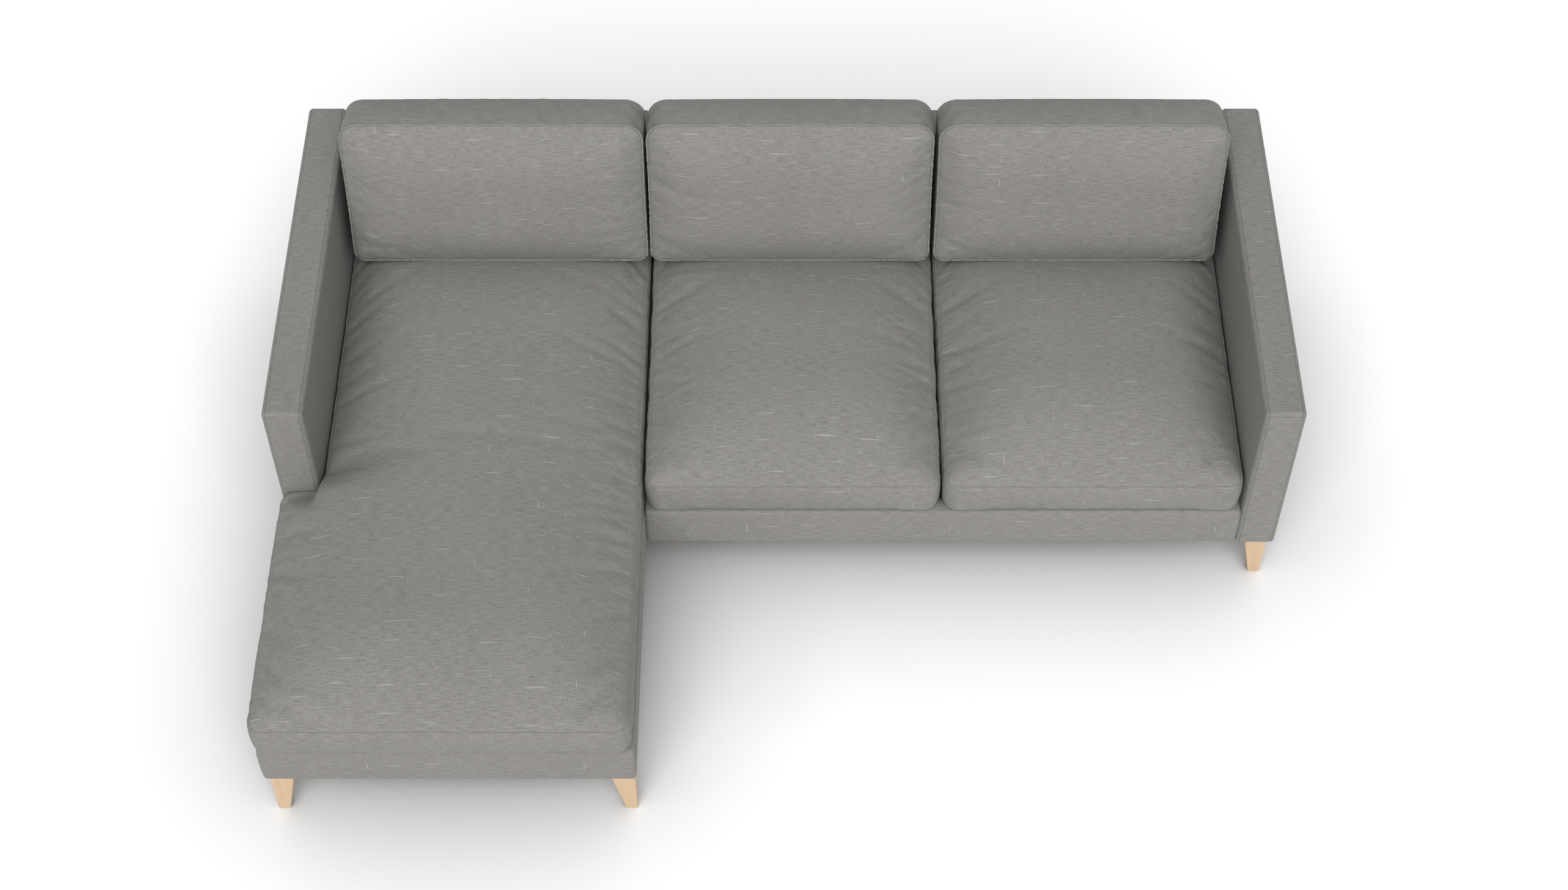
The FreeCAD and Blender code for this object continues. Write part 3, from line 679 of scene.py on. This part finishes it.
def refine(piece):
    # one subdivision, applied, so that finer folds can be laid over it
    piece.modifiers.new("finer", "SUBSURF").levels = 1
    piece.modifiers["finer"].render_levels = 1
    graph = bpy.context.evaluated_depsgraph_get()
    finer = bpy.data.meshes.new_from_object(piece.evaluated_get(graph))
    piece.modifiers.clear()
    finer.name = piece.name
    piece.data = finer


def closedCurve(points, between):
    # a smooth closed line through points: each span is the Catmull-Rom cubic of its four neighbours
    before, after, later = np.roll(points, 1, 0), np.roll(points, -1, 0), np.roll(points, -2, 0)
    t = (np.arange(between) / between)[None, :, None]
    p0, p1, p2, p3 = (p[:, None] for p in (before, points, after, later))
    line = 0.5 * (2 * p1 + (p2 - p0) * t + (2 * p0 - 5 * p1 + 4 * p2 - p3) * t ** 2
                  + (3 * p1 - p0 - 3 * p2 + p3) * t ** 3)
    return line.reshape(-1, 3)


def welt(name, path, outward, radius, body, sides=8):
    # a round welt: a circle of the given radius carried along the closed path
    along = np.roll(path, -1, 0) - np.roll(path, 1, 0)
    along /= np.linalg.norm(along, axis=1, keepdims=True)
    side = np.cross(along, outward)
    side /= np.linalg.norm(side, axis=1, keepdims=True)
    up = np.cross(side, along)
    turn = np.arange(sides) * 2 * math.pi / sides
    ring = up[:, None] * np.cos(turn)[None, :, None] + side[:, None] * np.sin(turn)[None, :, None]
    points = path[:, None] + ring * radius[:, None, None]
    ids = np.arange(len(path) * sides).reshape(len(path), sides)
    ids = np.concatenate([ids, ids[:1]])
    ids = np.concatenate([ids, ids[:, :1]], 1)
    run = np.concatenate([[0], np.cumsum(np.linalg.norm(np.roll(path, -1, 0) - path, axis=1))])
    girth = np.arange(sides + 1) * 2 * math.pi * radius.mean() / sides
    places = np.stack(np.broadcast_arrays(run[:, None], girth[None]), -1)
    return makePiece(name, points.reshape(-1, 3), [patch(ids, places, flip=True)],
                     np.full(len(path) * sides, farFromSeam), body)


seatCushion = {
    "step": 12 * mm,
    "cornerRadius": 36 * mm,
    "boxing": 95 * mm,         # seam over the underside
    "crown": 97 * mm,
    "reach": 290 * mm,         # from the seam to the flat middle of the crown
    "rearReach": 430 * mm,
    "crownPower": 2.4,
    "rearPower": 1.25,
    "seamInset": 3 * mm,
    "drawIn": 1.5 * mm,        # sides pulled in between the corners
    "pressure": 4.0,
    "bending": 0.6,
    "slack": -0.025,           # less than nothing lengthens the cloth, by this share
    "evenRounds": 40,
    "broadShare": 0.12,        # what stays of the broad swelling
    "foldReach": 95 * mm,
    "frames": 20,
    "cap": 24 * mm,
    "roomBelow": (1 * mm, 4 * mm, 0),            # how far it may reach past its own solid
    "roomAbove": (1 * mm, 1 * mm, 12 * mm),
    "fill": 0.9,
    "armGap": 4 * mm,
    "notchBlend": 120 * mm,    # run over which the crown's edge steps in beside the arm
    "notchRise": 90 * mm,      # and over which the crown falls to the notch
    "folds": 22,               # short gathers laid over the swollen cloth
    "foldDepth": 1.6 * mm,
    "foldLengths": (25 * mm, 60 * mm),
    "foldStart": 14 * mm,
    "puckerReach": 9 * mm,     # fine puckers beside the seams
    "puckerWaves": (46 * mm, 13 * mm),
    "puckerDepth": 0.55 * mm,
    "creaseDepth": 1.7 * mm,
    "creaseWidth": 3.5 * mm,
    "plainBelow": 20 * mm,
    "weltRadius": 1.3 * mm,
    "weltOut": 0.4 * mm,
    "weltStep": 3 * mm,
    "weltUneven": 0.15,
    "weltWaves": (40 * mm, 12 * mm),
}
# share of the way from seam to underside, and how far the boxing stands out there
seatBoxing = [(0, -3 * mm), (0.12, -2 * mm), (0.3, -0.8 * mm), (0.5, 0), (0.68, -0.6 * mm),
              (0.82, -2.4 * mm), (0.93, -6 * mm), (1, -13 * mm)]


def evenLines(low, high, step):
    return np.linspace(low, high, int(round((high - low) / step)) + 1)


def seatShape(node, look, notch=None):
    low, high = boxOf(node)
    inset = look["seamInset"]
    x0, x1, y0, y1 = low[0] + inset, high[0] - inset, low[1] + inset, high[1] - inset
    radius, step = look["cornerRadius"], look["step"]
    if notch is None:
        xs, ys = evenLines(x0, x1, step), evenLines(y0, y1, step)
        stops = [(0, 0), (len(xs) - 1, 0), (len(xs) - 1, len(ys) - 1), (0, len(ys) - 1)]
        corners = [(x0, y0, 1, 1, radius), (x1, y0, -1, 1, radius), (x1, y1, -1, -1, radius),
                   (x0, y1, 1, -1, radius)]
        notchX, notchY = x0, y1
    else:
        notchX, notchY = notch[0] + inset, notch[1] - inset
        side = evenLines(x0, notchX, step)
        front = evenLines(y0, notchY, step)
        xs = np.concatenate([side[:-1], evenLines(notchX, x1, step)])
        ys = np.concatenate([front[:-1], evenLines(notchY, y1, step)])
        i, j = len(side) - 1, len(front) - 1
        stops = [(0, 0), (len(xs) - 1, 0), (len(xs) - 1, len(ys) - 1), (i, len(ys) - 1), (i, j), (0, j)]
        corners = [(x0, y0, 1, 1, radius), (x1, y0, -1, 1, radius), (x1, y1, -1, -1, radius),
                   (notchX, y1, 1, -1, radius), (x0, notchY, 1, -1, radius)]

    def leftEdge(b):
        # the left side steps in beside the arm, over a short run
        return x0 + (notchX - x0) * easeOut((b - notchY) / look["notchBlend"] + 0.5)

    def outline(a, b):
        a, b = roundCorners(a, b, corners)
        t = np.clip((b - y0) / (y1 - y0), 0, 1)
        pull = look["drawIn"] * (1 - (2 * t - 1) ** 4)
        side = 2 * (a - x0) / (x1 - x0) - 1
        return a - pull * side ** 3, b

    def front(a, b):
        reach = look["reach"]
        edge = leftEdge(b)
        across = (1 - (a - edge) / reach, 1 - (x1 - a) / reach)
        toRear = np.clip((y1 - b) / look["rearReach"], 0, 1)
        along = (1 - (b - y0) / reach, 1 - toRear ** look["rearPower"])
        rise = panelCrown([across, along], look["crown"], look["crownPower"])
        if notch is not None:
            beside = (a < notchX) * easeOut((notchY - b) / look["notchRise"]) + (a >= notchX)
            rise = rise * beside
        return look["boxing"] + rise

    def fromEdge(a, b):
        near = np.minimum(np.minimum(a - x0, x1 - a), np.minimum(b - y0, y1 - b))
        if notch is not None:
            near = np.where(a < notchX + 1e-9, np.minimum(near, np.abs(notchY - b)), near)
            near = np.where(b > notchY - 1e-9, np.minimum(near, np.abs(a - notchX)), near)
        return np.maximum(near, 0)

    def used(a, b):
        return ~((a < notchX - 1e-9) & (b > notchY + 1e-9))

    def place(points):
        return points + np.array([0, 0, low[2]])

    return {"lines": (xs, ys), "stops": stops, "outline": outline, "front": front,
            "rear": lambda a, b: np.zeros(a.shape), "used": used, "fromEdge": fromEdge,
            "boxing": seatBoxing, "place": place, "sides": (x0, x1)}


def gathers(x, y, seams, look):
    # Short folds that start at a side seam and die out inward. Each is a bell across its own line,
    # which leans a little, times d / length * exp(1 - d / length) along it.
    total = np.zeros(len(x))
    count = look["folds"]
    for edge, way in seams:
        distance = np.maximum((x - edge) * way, 0)
        start = draws.uniform(y.min(), y.max(), count)
        lean = draws.uniform(-canvas["foldLean"], canvas["foldLean"], count)
        width = draws.uniform(*canvas["foldWidths"], count)
        length = draws.uniform(*look["foldLengths"], count)
        strength = draws.uniform(-1, 1, count) * look["foldDepth"]
        off = (y[:, None] - start - lean * distance[:, None]) / width
        share = distance[:, None] / length
        total += (strength * np.exp(-off ** 2) * share * np.exp(1 - share)).sum(1)
    return total


def dressSeat(piece, sides, look):
    # folds at the side seams, fine puckers along every seam, and the crease of the seam itself
    mesh = piece.data
    points, normals, gap = pointsOf(mesh), pointsOf(mesh, "normal"), gapsOf(mesh)
    seams = ((sides[0], 1), (sides[1], -1))
    folds = gathers(points[:, 0], points[:, 1], seams, look) * easeOut(gap / look["foldStart"])
    near = np.exp(-np.abs(gap) / look["puckerReach"]) * (np.abs(gap) > onSeam)
    pucker = waver(points[:, 1], *look["puckerWaves"]) * look["puckerDepth"] * near
    crease = -look["creaseDepth"] * np.exp(-(gap / look["creaseWidth"]) ** 2)
    top = points[:, 2] > points[:, 2].min() + look["plainBelow"]
    setPoints(mesh, points + normals * ((folds + pucker + crease) * top)[:, None])


def keepInside(piece, node, look):
    # the swollen cloth stays in the space that the cushion has between its neighbours
    low, high = boxOf(node)
    points = np.clip(pointsOf(piece.data), low - look["roomBelow"], high + look["roomAbove"])
    setPoints(piece.data, points)


def makeCushion(name, weltName, node, shape, look, dress):
    # one cushion from its shape: swollen, refined, dressed, and with a welt over its front seam
    piece, ring, held = cushionPiece(name, shape, node, [node + "_cover", node + "_foam"])
    swell(piece, look, held)
    keepInside(piece, node + "_cover", look)
    refine(piece)
    dress(piece, shape["sides"], look)
    path = closedCurve(pointsOf(piece.data)[ring], weltSpans)
    outward = closedCurve(pointsOf(piece.data, "normal")[ring], weltSpans)
    run = np.arange(len(path)) * look["weltStep"]
    radius = look["weltRadius"] * (1 + look["weltUneven"] * waver(run, *look["weltWaves"]))
    welt(weltName, path + outward * look["weltOut"], outward, radius, node)


def makeSeats():
    armLow, armHigh = boxOf("left_arm_cover")
    gap = seatCushion["armGap"]
    notch = (armHigh[0] + gap, armLow[1] - gap / 2)
    for name, node, corner in (("chaisePad", "chaise_pad", notch), ("middleSeat", "middle_seat", None),
                               ("rightSeat", "right_seat", None)):
        shape = seatShape(node + "_cover", seatCushion, corner)
        makeCushion(name, name + "Seam", node, shape, seatCushion, dressSeat)


makeSeats()
print("seat cushions made")


backCushion = {
    "step": 10 * mm,
    "topCorner": 46 * mm,
    "bottomCorner": 24 * mm,
    "lean": math.radians(10),
    "height": 390 * mm,        # along the lean, from the bottom seam to the top seam
    "topRise": 3 * mm,         # seams above their corners in the middle of the top
    "rearDrop": 12 * mm,       # rear seam lower than the front seam at the top
    "bottomDepth": 214.3 * mm,
    "topDepth": 120 * mm,
    "crown": 48 * mm,
    "reach": 150 * mm,
    "crownPower": 2.4,
    "drawIn": 2 * mm,
    "pressure": 3.0,
    "bending": 0.5,
    "slack": -0.018,
    "evenRounds": 40,
    "broadShare": 0.12,
    "foldReach": 60 * mm,
    "frames": 20,
    "cap": 22 * mm,
    "roomBelow": (0.75 * mm, 3 * mm, 0),
    "roomAbove": (0.75 * mm, 0.75 * mm, 9 * mm),
    "fill": 0.85,
    "folds": 16,
    "foldDepth": 1.6 * mm,
    "foldLengths": (25 * mm, 70 * mm),
    "foldStart": 12 * mm,
    "puckerReach": 9 * mm,
    "puckerWaves": (40 * mm, 12 * mm),
    "puckerWavesAcross": (60 * mm, 13 * mm),
    "puckerDepth": 0.5 * mm,
    "weltRadius": 2.4 * mm,
    "weltOut": 1.5 * mm,
    "weltStep": 2.5 * mm,
    "weltUneven": 0.18,
    "weltWaves": (36 * mm, 10 * mm),
}
# share of the way from the front seam to the rear seam, and how far the boxing stands out there
backBoxing = [(0, 0), (0.08, 0.6 * mm), (0.2, 1.2 * mm), (0.35, 1.6 * mm), (0.5, 1.7 * mm), (0.65, 1.6 * mm),
              (0.8, 1.2 * mm), (0.92, 0.6 * mm), (1, 0)]


def backShape(node, look):
    low, high = boxOf(node)
    x0, x1 = low[0], high[0]
    height, lean = look["height"], look["lean"]
    seamZ = low[2] + look["bottomDepth"] * math.sin(lean)
    seamY = high[1] - look["bottomDepth"] * math.cos(lean)
    xs, hs = evenLines(x0, x1, look["step"]), evenLines(0, height, look["step"])
    stops = [(0, 0), (len(xs) - 1, 0), (len(xs) - 1, len(hs) - 1), (0, len(hs) - 1)]
    low, top = look["bottomCorner"], look["topCorner"]
    corners = [(x0, 0, 1, 1, low), (x1, 0, -1, 1, low), (x1, height, -1, -1, top), (x0, height, 1, -1, top)]

    def outline(a, h):
        a, h = roundCorners(a, h, corners)
        share = (2 * (a - x0) / (x1 - x0) - 1)
        up = np.clip(h / height, 0, 1)
        lift = look["topRise"] * (1 - np.abs(share) ** 2.6) * up ** 2
        pull = look["drawIn"] * (1 - (2 * up - 1) ** 2) * share ** 3
        return a - pull, h + lift

    def front(a, h):
        reach = look["reach"]
        across = (1 - (a - x0) / reach, 1 - (x1 - a) / reach)
        along = (1 - h / reach, 1 - (height - h) / reach)
        return panelCrown([across, along], look["crown"], look["crownPower"])

    def rear(a, h):
        return -(look["bottomDepth"] + (look["topDepth"] - look["bottomDepth"]) * h / height)

    def fromEdge(a, h):
        return np.minimum(np.minimum(a - x0, x1 - a), np.minimum(h, height - h))

    def place(points):
        # across, up along the lean, and out from the front seam's plane
        across, up, out = points.T
        share = np.clip(up / height, 0, 1)
        depth = look["bottomDepth"] + (look["topDepth"] - look["bottomDepth"]) * share
        up = up - look["rearDrop"] * np.clip(-out / depth, 0, 1) * share ** 3
        return np.stack([across, seamY - out * math.cos(lean) + up * math.sin(lean),
                         seamZ + out * math.sin(lean) + up * math.cos(lean)], 1)

    return {"lines": (xs, hs), "stops": stops, "outline": outline, "front": front, "rear": rear,
            "used": lambda a, h: np.ones(a.shape, bool), "fromEdge": fromEdge,
            "boxing": backBoxing, "place": place, "sides": (x0, x1)}


def dressBack(piece, sides, look):
    # folds at the side seams and fine puckers along every seam
    mesh = piece.data
    points, normals, gap = pointsOf(mesh), pointsOf(mesh, "normal"), gapsOf(mesh)
    across, up = points[:, 0], points[:, 2]
    seams = ((sides[0], 1), (sides[1], -1))
    folds = gathers(across, up, seams, look) * easeOut(gap / look["foldStart"])
    near = np.exp(-np.abs(gap) / look["puckerReach"]) * (np.abs(gap) > onSeam)
    waves = waver(up, *look["puckerWaves"]) + waver(across, *look["puckerWavesAcross"])
    setPoints(mesh, points + normals * (folds + waves * look["puckerDepth"] * near)[:, None])


def makeBackCushions():
    for name in ("left", "middle", "right"):
        node = name + "_back_cushion"
        shape = backShape(node + "_cover", backCushion)
        makeCushion(name + "BackCushion", name + "BackWelt", node, shape, backCushion, dressBack)


makeBackCushions()
print("back cushions made")


# Studio: a white floor that keeps the shadow and has a painted shadow near the sofa, an even sky and one very
# soft lamp from the front

studio = {
    "floorSize": 60.0,
    "floorBounce": 0.78,                # how white the floor is for the light that it throws back
    "skyLight": 0.46,
    "sunLight": 2.9,
    "sunSpread": math.radians(56),      # a very large soft source, so its shadows have no edge
    "sunTilt": math.radians(46),        # from straight overhead towards the front
    "shadeReach": 0.5,                 # floor this near the sofa is drawn darker, a painted shadow
    "shade": 0.30,
}


def seenDirectly(owner):
    # 1 for the rays that see the background: from the camera, and in metal or glass
    path = addNode(owner, "LightPath")
    seen = path["Is Camera Ray"]
    for key in ("Is Glossy Ray", "Is Transmission Ray"):
        seen = addNode(owner, "Math", {0: seen, 1: path[key]}, operation="MAXIMUM")[0]
    return seen


def floorColour(paper):
    # seen straight on, the floor is white and gets a painted shadow near the sofa, darker by how much of it
    # is closed in
    near = addNode(paper, "AmbientOcclusion", {"Distance": studio["shadeReach"]})
    white = addNode(paper, "MapRange", {0: near["AO"], 3: studio["shade"], 4: 1.0})
    return addNode(paper, "Mix", {0: seenDirectly(paper), 6: [studio["floorBounce"]] * 3 + [1], 7: white[0]},
                   data_type="RGBA")[2]


def makeFloor():
    half = studio["floorSize"] / 2
    mesh = bpy.data.meshes.new("floor")
    mesh.from_pydata([(-half, -half, 0), (half, -half, 0), (half, half, 0), (-half, half, 0)],
                     [], [(0, 1, 2, 3)])
    mesh.materials.append(newMaterial("whitePaper", floorColour, Roughness=1.0, Specular_IOR_Level=0.0))
    floor = bpy.data.objects.new("floor", mesh)
    bpy.context.scene.collection.objects.link(floor)


def makeSky():
    # an even grey light on the sofa, and plain white where it is seen
    sky = bpy.data.worlds.new("sky")
    bpy.context.scene.world = sky
    sky.use_nodes = True
    nodes = sky.node_tree.nodes
    lit = nodes["Background"]
    lit.inputs["Color"].default_value = (1, 1, 1, 1)
    lit.inputs["Strength"].default_value = studio["skyLight"]
    shown = addNode(sky, "Background", {"Color": (1, 1, 1, 1), "Strength": 1.0})
    both = addNode(sky, "MixShader", {0: seenDirectly(sky), 1: lit.outputs[0], 2: shown[0]})
    sky.node_tree.links.new(both[0], nodes["World Output"].inputs["Surface"])


def makeLamp():
    light = bpy.data.lights.new("softSun", "SUN")
    light.energy = studio["sunLight"]
    light.angle = studio["sunSpread"]
    lamp = bpy.data.objects.new("softSun", light)
    bpy.context.scene.collection.objects.link(lamp)
    lamp.rotation_euler = (studio["sunTilt"], 0, 0)


makeFloor()
makeSky()
makeLamp()

# Camera, from the vanishing points and the known sizes of the photograph
photoView = {
    "focal": 58.22,            # on a 36 mm wide sensor
    "place": (0.0, -3.529, 4.9418),
    "tilt": math.radians(37.32),
}
lens = bpy.data.cameras.new("photoCamera")
lens.sensor_width = 36
lens.lens = photoView["focal"]
camera = bpy.data.objects.new("photoCamera", lens)
bpy.context.scene.collection.objects.link(camera)
camera.location = photoView["place"]
camera.rotation_euler = (photoView["tilt"], 0, 0)
bpy.context.scene.camera = camera
bpy.context.scene.view_settings.view_transform = "Standard"
print("studio and camera made")
